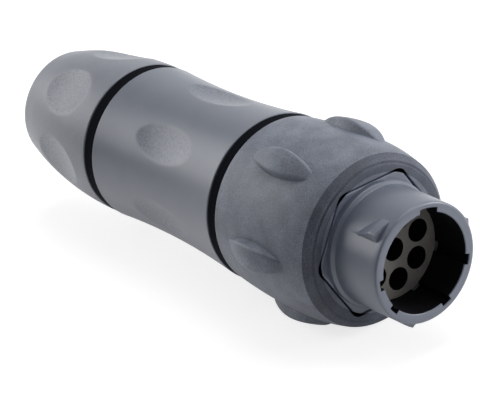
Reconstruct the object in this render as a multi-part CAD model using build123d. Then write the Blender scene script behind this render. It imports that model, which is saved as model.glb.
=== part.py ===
from build123d import *
from math import atan2, cos, degrees, radians, sin, sqrt
import os

# In-line circular connector, a cable receptacle, lying with its axis along X.
# The origin is the centre of the mating rim, +X leaves the mating end and +Z is up.
# A station is a distance in mm behind the mating rim, so a station s lies at x = -s.
# An angle is in degrees about the axis, from straight up, counter-clockwise seen from the front.

# Fits between pieces
RUNNING_FIT = 0.1
SEAL_FIT = 0.1
EDGE_BREAK = 0.3
SKIN = 0.2

# Finger recesses: how far a cutter reaches and how flat it may be, in lengths and widths of the recess
CUTTER_REACH = 0.75
FLATTEST_BELLY = 20

# Receptacle shell
BARREL_RADIUS = 9.5
BARREL_BORE_RADIUS = 7.9
INSERT_DEPTH = 7.2
KEY_DEPTH = 0.7
MAIN_KEY_WIDTH = 3.3
MAIN_KEY_ANGLE = -13.4
SIDE_KEY_WIDTH = 1.7
SIDE_KEY_OFFSETS = (105, 140, 215, 265)
STUD_OFFSETS = (50, 170, 290)
STUD_HEIGHT = 1.05
STUD_START = 1.3
STUD_LENGTH = 4.2
STUD_CREST_LENGTH = 1.4
STUD_TAIL_LENGTH = 1.9
STUD_RAMP_ANGLE = 18.0
STUD_DROP_ANGLE = 5.0
COLLAR_HEIGHT = 0.45
COLLAR_LENGTH = 0.9
FLANGE_STATION = 10.8
FLANGE_THICKNESS = 3.0
HEX_ACROSS_FLATS = 20.0
HEX_CORNER_RADIUS = 1.8
SKIRT_RADIUS = 9.1
SKIRT_BORE_RADIUS = 8.2
SKIRT_LENGTH = 17.2
GROOVE_DEPTH = 0.3

# Insert, contacts and their clips
INSERT_LENGTH = 15.8
CAVITY_COUNT = 7
CAVITY_PITCH_RADIUS = 5.0
CAVITY_START_OFFSET = -11.0
CAVITY_MOUTH_RADIUS = 1.8
CAVITY_MOUTH_DEPTH = 4.0
CAVITY_RADIUS = 1.45
CONTACT_COLLAR_RADIUS = 1.35
CONTACT_NECK_RADIUS = 1.05
CONTACT_HEAD_LENGTH = 3.0
CONTACT_NECK_LENGTH = 5.5
CONTACT_STOP_LENGTH = 2.0
CRIMP_RADIUS = 1.2
CRIMP_LENGTH = 8.5
SOCKET_RADIUS = 0.8
SOCKET_DEPTH = 6.5
WIRE_RADIUS = 0.75
WIRE_DEPTH = 6.0
CLIP_SLOT = 0.6
RETAINER_WIDTH = 1.2
RETAINER_BORE_RADIUS = 7.0
RETAINER_GAP = 3.0

# Front ring
RING_LENGTH = 22.7
RING_FACE_RADIUS = 12.25
RING_STEP_DEPTH = 0.35
RING_NOSE_RADIUS = 12.75
RING_BEVEL_LENGTH = 1.4
RING_SHOULDER_RADIUS = 13.65
RING_CROWN_SETBACK = 8.4
RING_CROWN_RADIUS = 14.4
RING_BACK_RADIUS = 13.42
HEX_RECESS_FIT = 0.25
GASKET_THICKNESS = 0.8
WEB_THICKNESS = 3.0
WEB_HOLE_FIT = 0.4
PAD_COUNT = 6
PAD_ANGLE = 30
PAD_LENGTH = 16.2
PAD_WIDTH = 4.4
PAD_CENTRE_SETBACK = 11.7
PAD_CROWN_RADIUS = 15.9
PAD_EDGE_RADIUS = 0.5

# Backshell body
SPIGOT_RADIUS = 12.0
SPIGOT_GAP = 1.0
FRONT_SEAL_WIDTH = 2.0
SEAL_RECESS = 0.12
BODY_LENGTH = 30.8
BODY_FRONT_RADIUS = 13.4
BODY_WAIST_LENGTH = 21.5
BODY_WAIST_RADIUS = 12.03
BODY_BACK_RADIUS = 12.3
BODY_CAVITY_RADIUS = 9.6
FRONT_THREAD_RUNOUT = 1.5
CAGE_STOP_RADIUS = 7.0
CAGE_STOP_WIDTH = 3.2
CAGE_STOP_CONE = 2.6
BODY_DIMPLE_COUNT = 6
BODY_DIMPLE_ANGLE = -12.5
BODY_DIMPLE_SETBACK = 14.9
BODY_DIMPLE_LENGTH = 12.6
BODY_DIMPLE_WIDTH = 6.0
BODY_DIMPLE_DEPTH = 0.6
BODY_DIMPLE_TILT = 1.0

# Gland: rear spigot, seal, cage, grommet and nut
REAR_SEAL_WIDTH = 2.3
REAR_SEAL_LAND_RADIUS = 10.9
GLAND_THREAD_RADIUS = 9.9
GLAND_SPIGOT_LENGTH = 10.9
GLAND_BORE_RADIUS = 8.1
CAGE_SEAT_DEPTH = 1.4
CAGE_FIT = 0.15
CAGE_WALL = 1.5
CAGE_STRAIGHT_LENGTH = 13.8
CAGE_TAPER_LENGTH = 5.2
CAGE_TIP_RADIUS = 7.2
CAGE_FINGER_COUNT = 12
CAGE_FINGER_LENGTH = 12.2
CAGE_SLOT_WIDTH = 0.8
CABLE_RADIUS = 4.5
GROMMET_LENGTH = 16.0
GROMMET_LIP = 0.8
NUT_LENGTH = 21.2
NUT_FRONT_RADIUS = 12.25
NUT_THREAD_RUNOUT = 0.7
NUT_END_RADIUS = 8.66
NUT_END_ROUND = 2.5
NUT_HOLE_RADIUS = 6.2
NUT_SHOULDER_GAP = 0.4
NUT_DIMPLE_COUNT = 6
NUT_DIMPLE_ANGLE = -20.5
NUT_DIMPLE_SETBACK = 9.1
NUT_DIMPLE_LENGTH = 13.6
NUT_DIMPLE_WIDTH = 8.4
NUT_DIMPLE_DEPTH = 0.8
NUT_DIMPLE_TILT = 0.5

# Stations that follow from the lengths above
FLANGE_BACK = FLANGE_STATION + FLANGE_THICKNESS
SKIRT_END = FLANGE_BACK + SKIRT_LENGTH
INSERT_BACK = INSERT_DEPTH + INSERT_LENGTH
WEB_FRONT = FLANGE_BACK + GASKET_THICKNESS
WEB_BACK = WEB_FRONT + WEB_THICKNESS
RING_BACK = FLANGE_STATION + RING_LENGTH
SPIGOT_FRONT = WEB_BACK + SPIGOT_GAP
BODY_SHOULDER = RING_BACK + FRONT_SEAL_WIDTH
BODY_BACK = BODY_SHOULDER + BODY_LENGTH
NUT_FRONT = BODY_BACK + REAR_SEAL_WIDTH
GLAND_SPIGOT_END = NUT_FRONT + GLAND_SPIGOT_LENGTH
NUT_BACK = NUT_FRONT + NUT_LENGTH
CAGE_FRONT = NUT_FRONT - CAGE_SEAT_DEPTH
CAGE_TAPER = CAGE_FRONT + CAGE_STRAIGHT_LENGTH
CAGE_BACK = CAGE_TAPER + CAGE_TAPER_LENGTH
CAGE_RADIUS = GLAND_BORE_RADIUS - CAGE_FIT
GROMMET_RADIUS = CAGE_RADIUS - CAGE_WALL - SEAL_FIT


def spot(station, radius):
    """A point of a turned profile, as local coordinates of the XZ plane."""
    return (-station, radius)


def turned(*points):
    """A solid of revolution about the axis, from a closed outline of (station, radius) points."""
    outline = Polyline(*[spot(*point) for point in points], close=True)
    return revolve(Plane.XZ * make_face(outline), Axis.X)


def turned_between(side, *points):
    """The same solid, where smooth lines close the outline from the last point to the first."""
    rest = Polyline(*[spot(*point) for point in points])
    return revolve(Plane.XZ * make_face(Curve() + [*side, rest]), Axis.X)


def disc(radius, front, back):
    """A plain cylinder on the axis between two stations."""
    return Pos(X=-back) * extrude(Plane.YZ * Circle(radius), back - front)


def prism(sketch, front, back):
    """A sketch seen from the front, extruded along the axis between two stations."""
    return Pos(X=-back) * extrude(Plane.YZ * sketch, back - front)


def hexagon(across_flats, corner_radius):
    """A hexagon with rounded corners and one flat straight up."""
    flat = RegularPolygon(across_flats / 2, 6, major_radius=False)
    return fillet(flat.vertices(), corner_radius)


def around(piece, angles):
    """Copies of a piece that was made at the top, turned about the axis."""
    return [Rot(X=angle) * piece for angle in angles]


def evenly(count, first):
    return [first + 360 / count * index for index in range(count)]


def barrel_cutter(length, width, depth, surface_radius):
    """A barrel whose belly cuts an oval of this length and width into a round surface."""
    flattest = 1 / (width * FLATTEST_BELLY)
    belly = 1 / max(8 * depth / width**2 - 1 / surface_radius, flattest)
    bow = length**2 / (8 * depth)
    half = length * CUTTER_REACH
    drop = bow - sqrt(bow**2 - half**2)
    middle = ThreePointArc((-half, belly - drop), (0, belly), (half, belly - drop))
    ends = Polyline((half, belly - drop), (half, 0), (-half, 0), (-half, belly - drop))
    return Pos(Z=belly) * revolve(Plane.XZ * make_face(Curve() + [middle, ends]), Axis.X)


def dimple(side, setback, length, width, depth, tilt):
    """The cutter of one oval recess at the top, so far along a smooth side, tilted down at its back."""
    middle = side.position_at(setback, PositionMode.LENGTH)
    run = side.tangent_at(setback, PositionMode.LENGTH)
    slope = degrees(atan2(-run.Y, -run.X))
    cutter = barrel_cutter(length, width, depth, middle.Y)
    return Pos(X=middle.X, Z=middle.Y - depth) * Rot(Y=-slope - tilt) * cutter


def polar(radius, angle):
    """A point of a cross-section seen from the front, from its radius and its angle from the top."""
    return (-radius * sin(radians(angle)), radius * cos(radians(angle)))


def bayonet_stud():
    """One stud at the top: it rises counter-clockwise, drops off steeply and slopes to the back."""
    root = BARREL_RADIUS - SKIN * 2
    crest = BARREL_RADIUS + STUD_HEIGHT
    rise = -STUD_RAMP_ANGLE / 2
    top = rise + STUD_RAMP_ANGLE
    foot = top + STUD_DROP_ANGLE
    corners = [(root, rise), (BARREL_RADIUS, rise), (crest, top), (BARREL_RADIUS, foot), (root, foot)]
    outline = Polyline(*[polar(*corner) for corner in corners], close=True)
    stud = prism(make_face(outline), STUD_START, STUD_START + STUD_LENGTH)
    crest_edge = stud.edges().filter_by(Axis.X).sort_by(Axis.Z)[-1]
    stud = chamfer(crest_edge, EDGE_BREAK)
    crest_end = Vector(-STUD_START - STUD_CREST_LENGTH, *polar(crest, top))
    flank_foot = Vector(-STUD_START - STUD_LENGTH, *polar(BARREL_RADIUS, top))
    ramp_start = Vector(-STUD_START - STUD_TAIL_LENGTH, *polar(BARREL_RADIUS, rise))
    fall = flank_foot - crest_end
    flank = Plane(origin=crest_end, x_dir=fall, z_dir=fall.cross(ramp_start - crest_end))
    return split(stud, bisect_by=flank, keep=Keep.TOP)


def keyway(width):
    """The cutter of one keyway at the top, from the rim to the insert's face."""
    height = BARREL_BORE_RADIUS + KEY_DEPTH
    slot = Rectangle(width, height, align=(Align.CENTER, Align.MIN))
    floor = Circle(height)
    return prism(slot & floor, -SKIN, INSERT_DEPTH)


def receptacle_shell():
    collar_radius = BARREL_RADIUS + COLLAR_HEIGHT
    collar_station = FLANGE_STATION - COLLAR_LENGTH
    shell = turned(
        (0, 0),
        (0, BARREL_RADIUS - EDGE_BREAK),
        (EDGE_BREAK, BARREL_RADIUS),
        (collar_station - COLLAR_HEIGHT, BARREL_RADIUS),
        (collar_station, collar_radius),
        (FLANGE_STATION, collar_radius),
        (FLANGE_STATION, SKIRT_RADIUS),
        (SKIRT_END - EDGE_BREAK, SKIRT_RADIUS),
        (SKIRT_END, SKIRT_RADIUS - EDGE_BREAK),
        (SKIRT_END, 0),
    )
    shell += prism(hexagon(HEX_ACROSS_FLATS, HEX_CORNER_RADIUS), FLANGE_STATION, FLANGE_BACK)
    shell += around(bayonet_stud(), [MAIN_KEY_ANGLE + offset for offset in STUD_OFFSETS])
    shell -= disc(BARREL_BORE_RADIUS, -SKIN, INSERT_DEPTH)
    shell -= disc(SKIRT_BORE_RADIUS, INSERT_DEPTH, SKIRT_END + SKIN)
    groove = SKIRT_BORE_RADIUS + GROOVE_DEPTH
    shell -= disc(groove, INSERT_BACK, INSERT_BACK + RETAINER_WIDTH)
    shell -= around(keyway(MAIN_KEY_WIDTH), [MAIN_KEY_ANGLE])
    shell -= around(keyway(SIDE_KEY_WIDTH), [MAIN_KEY_ANGLE + offset for offset in SIDE_KEY_OFFSETS])
    return shell


def cavity_places():
    """The centre cavity and the ring of cavities round it."""
    outer = [
        Rot(X=angle) * Pos(Z=CAVITY_PITCH_RADIUS)
        for angle in evenly(CAVITY_COUNT, MAIN_KEY_ANGLE + CAVITY_START_OFFSET)
    ]
    return [Pos(Z=0), *outer]


def contact_insert():
    insert = disc(SKIRT_BORE_RADIUS - RUNNING_FIT, INSERT_DEPTH, INSERT_BACK)
    mouth_end = INSERT_DEPTH + CAVITY_MOUTH_DEPTH
    cavity = disc(CAVITY_MOUTH_RADIUS, INSERT_DEPTH - SKIN, mouth_end)
    cavity += disc(CAVITY_RADIUS, INSERT_DEPTH, INSERT_BACK + SKIN)
    return insert - [place * cavity for place in cavity_places()]


# Stations of one contact, from its mouth back
CONTACT_FRONT = INSERT_DEPTH + CAVITY_MOUTH_DEPTH
NECK_FRONT = CONTACT_FRONT + CONTACT_HEAD_LENGTH
NECK_BACK = NECK_FRONT + CONTACT_NECK_LENGTH
CRIMP_FRONT = NECK_BACK + CONTACT_STOP_LENGTH
CRIMP_BACK = CRIMP_FRONT + CRIMP_LENGTH


def socket_contact():
    """One turned contact on the axis: socket, neck for the clip, stop collar and crimp barrel."""
    contact = turned(
        (CONTACT_FRONT, 0),
        (CONTACT_FRONT, CONTACT_COLLAR_RADIUS),
        (NECK_FRONT, CONTACT_COLLAR_RADIUS),
        (NECK_FRONT, CONTACT_NECK_RADIUS),
        (NECK_BACK, CONTACT_NECK_RADIUS),
        (NECK_BACK, CONTACT_COLLAR_RADIUS),
        (CRIMP_FRONT, CONTACT_COLLAR_RADIUS),
        (CRIMP_FRONT, CRIMP_RADIUS),
        (CRIMP_BACK, CRIMP_RADIUS),
        (CRIMP_BACK, 0),
    )
    contact -= disc(SOCKET_RADIUS, CONTACT_FRONT - SKIN, CONTACT_FRONT + SOCKET_DEPTH)
    return contact - disc(WIRE_RADIUS, CRIMP_BACK - WIRE_DEPTH, CRIMP_BACK + SKIN)


def contact_clip():
    """The split spring sleeve that sits on a contact's neck."""
    inner = CONTACT_NECK_RADIUS + RUNNING_FIT / 2
    outer = CAVITY_RADIUS - RUNNING_FIT / 2
    clip = disc(outer, NECK_FRONT, NECK_BACK) - disc(inner, NECK_FRONT - SKIN, NECK_BACK + SKIN)
    slot = Rectangle(CLIP_SLOT, outer * 2, align=(Align.CENTER, Align.MIN))
    return clip - prism(slot, NECK_FRONT - SKIN, NECK_BACK + SKIN)


def insert_retaining_ring():
    back = INSERT_BACK + RETAINER_WIDTH
    outer = SKIRT_BORE_RADIUS + GROOVE_DEPTH - RUNNING_FIT / 2
    ring = disc(outer, INSERT_BACK, back) - disc(RETAINER_BORE_RADIUS, INSERT_BACK - SKIN, back + SKIN)
    gap = Rectangle(RETAINER_GAP, outer * 2, align=(Align.CENTER, Align.MAX))
    return ring - prism(gap, INSERT_BACK - SKIN, back + SKIN)


def flange_gasket():
    outline = hexagon(HEX_ACROSS_FLATS, HEX_CORNER_RADIUS)
    gasket = prism(outline, FLANGE_BACK, WEB_FRONT)
    return gasket - disc(SKIRT_RADIUS + WEB_HOLE_FIT, FLANGE_BACK - SKIN, WEB_FRONT + SKIN)


def grip_pad():
    """One almond-shaped pad at the top, crowned along the axis, with a rounded upper edge."""
    half_length = PAD_LENGTH / 2
    half_width = PAD_WIDTH / 2
    left = ThreePointArc((-half_length, 0), (0, half_width), (half_length, 0))
    right = ThreePointArc((half_length, 0), (0, -half_width), (-half_length, 0))
    plan = make_face(Curve() + [left, right])
    middle = FLANGE_STATION + PAD_CENTRE_SETBACK
    pad = Pos(X=-middle) * extrude(plan, PAD_CROWN_RADIUS)
    front = middle - half_length
    back = middle + half_length
    low = RING_BACK_RADIUS - EDGE_BREAK
    crown = ThreePointArc(spot(front, low), spot(middle, PAD_CROWN_RADIUS), spot(back, low))
    inside = [(back, low), (back, SPIGOT_RADIUS), (front, SPIGOT_RADIUS), (front, low)]
    pad &= turned_between([crown], *inside)
    pad -= disc(SPIGOT_RADIUS + SKIN * 2, front - SKIN, back + SKIN)
    upper_face = pad.faces().sort_by(Axis.Z)[-1]
    return fillet(upper_face.edges(), PAD_EDGE_RADIUS)


def front_ring():
    crown = spot(FLANGE_STATION + RING_CROWN_SETBACK, RING_CROWN_RADIUS)
    shoulder = (FLANGE_STATION + RING_BEVEL_LENGTH, RING_SHOULDER_RADIUS)
    back = (RING_BACK, RING_BACK_RADIUS)
    front_side = TangentArc(crown, spot(*shoulder), tangent=(1, 0))
    back_side = TangentArc(crown, spot(*back), tangent=(-1, 0))
    step = FLANGE_STATION + RING_STEP_DEPTH
    ring = turned_between(
        [front_side, back_side],
        back,
        (RING_BACK, 0),
        (FLANGE_STATION, 0),
        (FLANGE_STATION, RING_FACE_RADIUS),
        (step, RING_FACE_RADIUS),
        (step, RING_NOSE_RADIUS),
        shoulder,
    )
    ring += around(grip_pad(), evenly(PAD_COUNT, PAD_ANGLE))
    recess = hexagon(HEX_ACROSS_FLATS + HEX_RECESS_FIT * 2, HEX_CORNER_RADIUS)
    ring -= prism(recess, FLANGE_STATION - SKIN, WEB_FRONT)
    ring -= disc(SKIRT_RADIUS + WEB_HOLE_FIT, WEB_FRONT - SKIN, WEB_BACK + SKIN)
    return ring - disc(SPIGOT_RADIUS + RUNNING_FIT, WEB_BACK, RING_BACK + SKIN)


def seal_ring(front, back, outer, inner):
    return disc(outer, front, back) - disc(inner, front - SKIN, back + SKIN)


def backshell_body():
    front = (BODY_SHOULDER, BODY_FRONT_RADIUS)
    back = (BODY_BACK, BODY_BACK_RADIUS)
    waist = spot(BODY_SHOULDER + BODY_WAIST_LENGTH, BODY_WAIST_RADIUS)
    side = ThreePointArc(spot(*front), waist, spot(*back))
    bore = SKIRT_RADIUS + RUNNING_FIT
    bore_end = SKIRT_END + FRONT_THREAD_RUNOUT
    stop_front = CAGE_FRONT - CAGE_STOP_WIDTH
    body = turned_between(
        [side],
        back,
        (BODY_BACK, REAR_SEAL_LAND_RADIUS),
        (NUT_FRONT, REAR_SEAL_LAND_RADIUS),
        (NUT_FRONT, GLAND_THREAD_RADIUS),
        (GLAND_SPIGOT_END - EDGE_BREAK, GLAND_THREAD_RADIUS),
        (GLAND_SPIGOT_END, GLAND_THREAD_RADIUS - EDGE_BREAK),
        (GLAND_SPIGOT_END, GLAND_BORE_RADIUS),
        (CAGE_FRONT, GLAND_BORE_RADIUS),
        (CAGE_FRONT, CAGE_STOP_RADIUS),
        (stop_front, CAGE_STOP_RADIUS),
        (stop_front - CAGE_STOP_CONE, BODY_CAVITY_RADIUS),
        (bore_end, BODY_CAVITY_RADIUS),
        (bore_end, bore),
        (SPIGOT_FRONT, bore),
        (SPIGOT_FRONT, SPIGOT_RADIUS),
        (BODY_SHOULDER, SPIGOT_RADIUS),
        front,
    )
    size = (BODY_DIMPLE_LENGTH, BODY_DIMPLE_WIDTH, BODY_DIMPLE_DEPTH)
    cutter = dimple(side, BODY_DIMPLE_SETBACK, *size, BODY_DIMPLE_TILT)
    return body - around(cutter, evenly(BODY_DIMPLE_COUNT, BODY_DIMPLE_ANGLE))


def clamp_cage():
    """The collet: a slit cage that slides in the body and is closed by the nut's cone."""
    inner = CAGE_RADIUS - CAGE_WALL
    cage = turned(
        (CAGE_FRONT, inner),
        (CAGE_FRONT, CAGE_RADIUS),
        (CAGE_TAPER, CAGE_RADIUS),
        (CAGE_BACK, CAGE_TIP_RADIUS),
        (CAGE_BACK, inner),
    )
    slot = Rectangle(CAGE_SLOT_WIDTH, CAGE_RADIUS * 2, align=(Align.CENTER, Align.MIN))
    slit = prism(slot, CAGE_BACK - CAGE_FINGER_LENGTH, CAGE_BACK + SKIN)
    return cage - around(slit, evenly(CAGE_FINGER_COUNT, 0))


def cable_grommet():
    """The rubber bush that seals on the cable, with a lip at its front end."""
    back = CAGE_FRONT + GROMMET_LENGTH
    return turned(
        (CAGE_FRONT, CABLE_RADIUS),
        (CAGE_FRONT, GROMMET_RADIUS),
        (back, GROMMET_RADIUS),
        (back + GROMMET_LIP, GROMMET_RADIUS - GROMMET_LIP),
        (back + GROMMET_LIP, CABLE_RADIUS),
    )


def gland_nut():
    front = (NUT_FRONT, NUT_FRONT_RADIUS)
    back = (NUT_BACK, NUT_END_RADIUS)
    side = TangentArc(spot(*front), spot(*back), tangent=(-1, 0))
    thread = GLAND_THREAD_RADIUS + RUNNING_FIT
    thread_end = GLAND_SPIGOT_END + NUT_THREAD_RUNOUT
    cone_end = CAGE_BACK + NUT_SHOULDER_GAP
    nut = turned_between(
        [side],
        back,
        (NUT_BACK, NUT_HOLE_RADIUS + EDGE_BREAK),
        (NUT_BACK - EDGE_BREAK, NUT_HOLE_RADIUS),
        (cone_end, NUT_HOLE_RADIUS),
        (cone_end, CAGE_TIP_RADIUS + CAGE_FIT),
        (CAGE_BACK, CAGE_TIP_RADIUS + CAGE_FIT),
        (CAGE_TAPER, CAGE_RADIUS + CAGE_FIT),
        (thread_end, CAGE_RADIUS + CAGE_FIT),
        (thread_end, thread),
        (NUT_FRONT, thread),
        front,
    )
    end_edges = nut.edges().filter_by(GeomType.CIRCLE).group_by(Axis.X)[0]
    nut = fillet(end_edges.sort_by(lambda edge: edge.radius)[-1], NUT_END_ROUND)
    size = (NUT_DIMPLE_LENGTH, NUT_DIMPLE_WIDTH, NUT_DIMPLE_DEPTH)
    cutter = dimple(side, NUT_DIMPLE_SETBACK, *size, NUT_DIMPLE_TILT)
    return nut - around(cutter, evenly(NUT_DIMPLE_COUNT, NUT_DIMPLE_ANGLE))


def build():
    seal_outer = RING_BACK_RADIUS - SEAL_RECESS
    rear_outer = NUT_FRONT_RADIUS - SEAL_RECESS
    pieces = {
        "receptacle_shell": receptacle_shell(),
        "contact_insert": contact_insert(),
        "insert_retaining_ring": insert_retaining_ring(),
        "flange_gasket": flange_gasket(),
        "front_ring": front_ring(),
        "front_seal_ring": seal_ring(RING_BACK, BODY_SHOULDER, seal_outer, SPIGOT_RADIUS + SEAL_FIT),
        "backshell_body": backshell_body(),
        "rear_seal_ring": seal_ring(BODY_BACK, NUT_FRONT, rear_outer, REAR_SEAL_LAND_RADIUS + SEAL_FIT),
        "clamp_cage": clamp_cage(),
        "cable_grommet": cable_grommet(),
        "gland_nut": gland_nut(),
    }
    contact = socket_contact()
    clip = contact_clip()
    for number, place in enumerate(cavity_places(), 1):
        pieces[f"socket_contact_{number}"] = place * contact
        pieces[f"contact_clip_{number}"] = place * clip
    return pieces


def main():
    os.makedirs("parts", exist_ok=True)
    for name, piece in build().items():
        export_step(piece, f"parts/{name}.step")


if __name__ == "__main__":
    main()
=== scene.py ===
from math import asin, cos, degrees, pi, radians, sin, tan

import bpy
import numpy as np
from mathutils import Matrix, Vector


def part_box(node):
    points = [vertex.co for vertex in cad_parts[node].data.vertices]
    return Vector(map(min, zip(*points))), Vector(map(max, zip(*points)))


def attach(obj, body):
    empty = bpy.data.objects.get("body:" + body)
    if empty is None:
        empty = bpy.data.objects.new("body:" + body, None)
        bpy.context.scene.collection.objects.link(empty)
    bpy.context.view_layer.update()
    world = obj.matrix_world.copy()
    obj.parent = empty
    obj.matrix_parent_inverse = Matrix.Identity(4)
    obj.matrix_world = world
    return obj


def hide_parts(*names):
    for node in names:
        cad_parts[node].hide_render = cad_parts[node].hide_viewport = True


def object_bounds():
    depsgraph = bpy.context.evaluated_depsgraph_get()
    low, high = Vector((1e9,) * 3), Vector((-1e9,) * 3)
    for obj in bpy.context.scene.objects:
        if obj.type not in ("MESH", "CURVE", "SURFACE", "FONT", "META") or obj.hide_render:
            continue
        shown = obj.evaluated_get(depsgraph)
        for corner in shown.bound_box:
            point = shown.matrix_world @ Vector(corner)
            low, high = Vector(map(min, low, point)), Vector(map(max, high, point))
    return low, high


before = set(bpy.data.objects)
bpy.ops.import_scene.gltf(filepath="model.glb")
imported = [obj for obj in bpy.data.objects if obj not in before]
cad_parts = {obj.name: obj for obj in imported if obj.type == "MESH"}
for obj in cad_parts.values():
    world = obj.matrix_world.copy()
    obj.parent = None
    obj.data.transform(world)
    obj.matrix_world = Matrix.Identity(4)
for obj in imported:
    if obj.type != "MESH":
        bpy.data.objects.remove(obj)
cad_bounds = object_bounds()

# The connector lies along X with its mating rim at x = 0.
# A station is a distance behind that rim, and an angle is measured from straight up,
# counter-clockwise seen from the front. Lengths are in millimetres and angles in degrees.
# Only the camera's distances, the floor and the lights are in metres.
MM = 0.001
FULL_TURN = 360


def stations(node):
    """The first and last station of a CAD node."""
    low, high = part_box(node)
    return -high.x / MM, -low.x / MM


# Stations that the frame gives
SKIRT_END = stations("receptacle_shell")[1]
RING_FRONT, RING_BACK = stations("front_ring")
SPIGOT_FRONT, GLAND_SPIGOT_END = stations("backshell_body")
NUT_FRONT, NUT_BACK = stations("gland_nut")
INSERT_FRONT, INSERT_BACK = stations("contact_insert")
GASKET_FRONT, GASKET_BACK = stations("flange_gasket")
SHOULDER = stations("front_seal_ring")[1]
BODY_BACK = stations("rear_seal_ring")[0]
CAGE_FRONT, CAGE_BACK = stations("clamp_cage")
CONTACT_FRONT = stations("socket_contact_1")[0]

# Mesh density: distances between rows on shaped sides, plain lengths, insides and seals,
# and columns round the axis
ROW_STEP = 0.22
PLAIN_STEP = 2.0
INSIDE_STEP = 4.0
SEAL_STEP = 0.5
COLUMNS = 300

# Where a curved side begins: the turned rows ahead of it aim at its point this far along and leave
# that row out, and its own close rows stop this far from its ends
AIM_LENGTH = 1
SIDE_MARGIN = 0.2

# Corners of turned outlines: the usual rounding, its steps, the largest share of a span that it
# takes, and half of the angle past which a corner counts as straight
EDGE = 0.12
CORNER_STEPS = 4
LONGEST_REACH = 0.45
STRAIGHT_HALF_ANGLE = 88

# The angle past which an edge is shaded as sharp
SMOOTH_ANGLE = 32

# Columns at exact angles: the digits that they are rounded to, the slack that still finds them
# inside a keyway, and how near an even column may lie, as a share of the distance between two
ANGLE_DIGITS = 4
ANGLE_SLACK = 0.01
COLUMN_CLEARANCE = 0.4

# Wear: the shortest span that is measured, and how sharply a surface bends, in 1/mm,
# where wear begins to show and where it is full
SHORTEST_SPAN = 0.04
EDGE_BEND_LOW = 0.9
EDGE_BEND_HIGH = 3.5

# Right-hand screw threads. The half widths of a ridge's crest and root are shares of the pitch.
# A bore's thread starts and ends a little inside the bore.
THREAD_PITCH = 1.5
THREAD_DEPTH = 0.45
THREAD_CREST_HALF = 0.15
THREAD_ROOT_HALF = 0.35
OUTER_THREAD_STEP = THREAD_PITCH / 8
INNER_THREAD_STEP = THREAD_PITCH / 6
INNER_THREAD_START = 0.1
INNER_THREAD_END = 0.3


def corner_arc(before, corner, after, radius):
    """The points that round off one corner of an outline."""
    before, corner, after = (np.array(point[:2], float) for point in (before, corner, after))
    back, ahead = before - corner, after - corner
    back_length, ahead_length = np.linalg.norm(back), np.linalg.norm(ahead)
    back, ahead = back / back_length, ahead / ahead_length
    half = np.arccos(np.clip(back @ ahead, -1, 1)) / 2
    if radius <= 0 or half > radians(STRAIGHT_HALF_ANGLE):
        return [corner]
    reach = min(radius / tan(half), back_length * LONGEST_REACH, ahead_length * LONGEST_REACH)
    centre = corner + (back + ahead) / np.linalg.norm(back + ahead) * reach / cos(half)
    start, end = corner + back * reach - centre, corner + ahead * reach - centre
    sweep = pi - 2 * half
    points = []
    for share in np.linspace(0, 1, CORNER_STEPS + 1):
        start_weight = sin((1 - share) * sweep) / sin(sweep)
        end_weight = sin(share * sweep) / sin(sweep)
        points.append(centre + start * start_weight + end * end_weight)
    return points


def outline(corners, step=PLAIN_STEP):
    """An open outline through (station, radius, rounding) corners, with no span longer than step."""
    points = [np.array(corners[0][:2], float)]
    for before, corner, after in zip(corners, corners[1:], corners[2:]):
        points += corner_arc(before, corner, after, corner[2] if len(corner) > 2 else EDGE)
    points.append(np.array(corners[-1][:2], float))
    full = [points[0]]
    for start, end in zip(points, points[1:]):
        pieces = max(1, int(np.ceil(np.linalg.norm(end - start) / step)))
        full += [start + (end - start) * share for share in np.linspace(0, 1, pieces + 1)[1:]]
    return np.array(full)


def turned_rows(corners, angles, step=PLAIN_STEP):
    """Rows of one turned band: its stations and radii, the same at every angle."""
    points = outline(corners, step)
    ones = np.ones(len(angles))
    return points[:, :1] * ones, points[:, 1:] * ones


def shaped_rows(places, radius, widening):
    """Rows at given stations of a shape that isn't round, each widened by a length."""
    return np.array(places)[:, None] * np.ones(len(radius)), radius + np.array(widening)[:, None]


def side_rows(side, start, end, angles, step=ROW_STEP):
    """Rows along a smooth side, from one station to another."""
    rows = int(np.ceil(abs(end - start) / step))
    station = np.linspace(start, end, rows + 1)[:, None] * np.ones(len(angles))
    return station, side(station)


def without_last_row(band):
    return band[0][:-1], band[1][:-1]


def even_angles():
    return np.arange(COLUMNS) * FULL_TURN / COLUMNS


def columns_with(exact):
    """Even angles round the axis, with exact ones in place of the ones that lie close to them."""
    exact = np.unique(np.round(np.mod(exact, FULL_TURN), ANGLE_DIGITS))
    gap = FULL_TURN / COLUMNS * COLUMN_CLEARANCE
    even = even_angles()
    near = np.abs(wrap(even[:, None] - exact[None, :])).min(axis=1) < gap
    return np.sort(np.concatenate([even[~near], exact]))


def to_points(station, radius, angle):
    """Points in metres from stations, radii and angles."""
    turn = np.radians(angle)
    return np.stack([-station, -radius * np.sin(turn), radius * np.cos(turn)], axis=-1) * MM


def wrap(angle):
    """An angle brought to -180 to 180."""
    return (np.asarray(angle) + FULL_TURN / 2) % FULL_TURN - FULL_TURN / 2


def smooth_step(value):
    """0 to 1, with a level start and end."""
    value = np.clip(value, 0, 1)
    return value * value * (3 - 2 * value)


def soft_min(a, b, blend):
    """The lower of two heights, rounded off where they differ by less than blend."""
    share = np.clip(0.5 + 0.5 * (b - a) / blend, 0, 1)
    return b * (1 - share) + a * share - blend * share * (1 - share)


def soft_max(a, b, blend):
    """The higher of two heights, rounded off in the same way."""
    return -soft_min(-a, -b, blend)


def arc_radius(run, fall):
    """The radius of an arc that falls by a height over a run from its top."""
    return (run**2 + fall**2) / (2 * fall)


def arc_fall(radius, run):
    """How far an arc has fallen after a run from its top."""
    return radius - np.sqrt(np.maximum(radius**2 - run**2, 0))


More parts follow.
